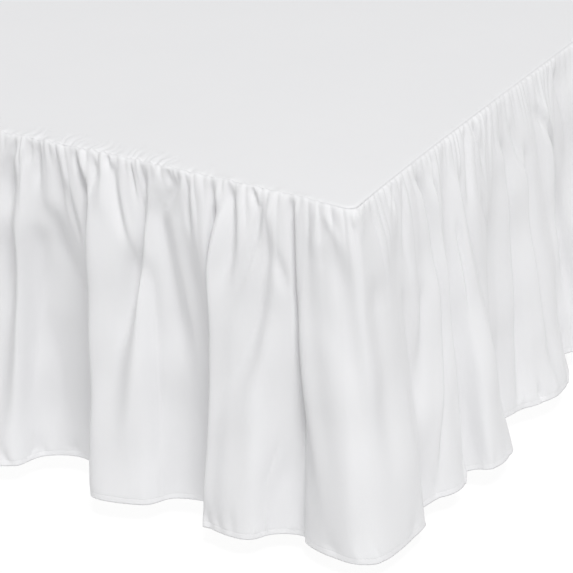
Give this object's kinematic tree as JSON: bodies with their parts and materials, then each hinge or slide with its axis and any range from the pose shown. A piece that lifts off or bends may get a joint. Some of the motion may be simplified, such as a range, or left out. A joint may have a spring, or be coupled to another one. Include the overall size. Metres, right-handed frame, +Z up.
{
  "type": "gathered bed skirt on a plain bed base",
  "caption": "Gathered cloth bed skirt over a plain bed base: a flat deck with a full ruffle sewn to its edge, hanging in soft uneven folds along the sides and round the foot.",
  "frame": {"origin": "on the floor, under the middle of the part's bounding box", "axes": "+Z up, +Y towards the head of the bed, +X towards the right-hand side of someone facing the head from the foot"},
  "size_m": [1.1318, 1.9573, 0.4],
  "materials": {
    "cotton": "smooth plain-woven white cloth, matt",
    "ticking": "off-white woven base cover, matt",
    "wood": "pale turned wood, satin"
  },
  "bodies": {
    "root": {"deck": "cotton", "ruffle": "cotton", "bed_base": "ticking", "leg_foot_left": "wood", "leg_foot_right": "wood", "leg_middle_left": "wood", "leg_middle_right": "wood", "leg_head_left": "wood", "leg_head_right": "wood"}
  },
  "joints": []
}
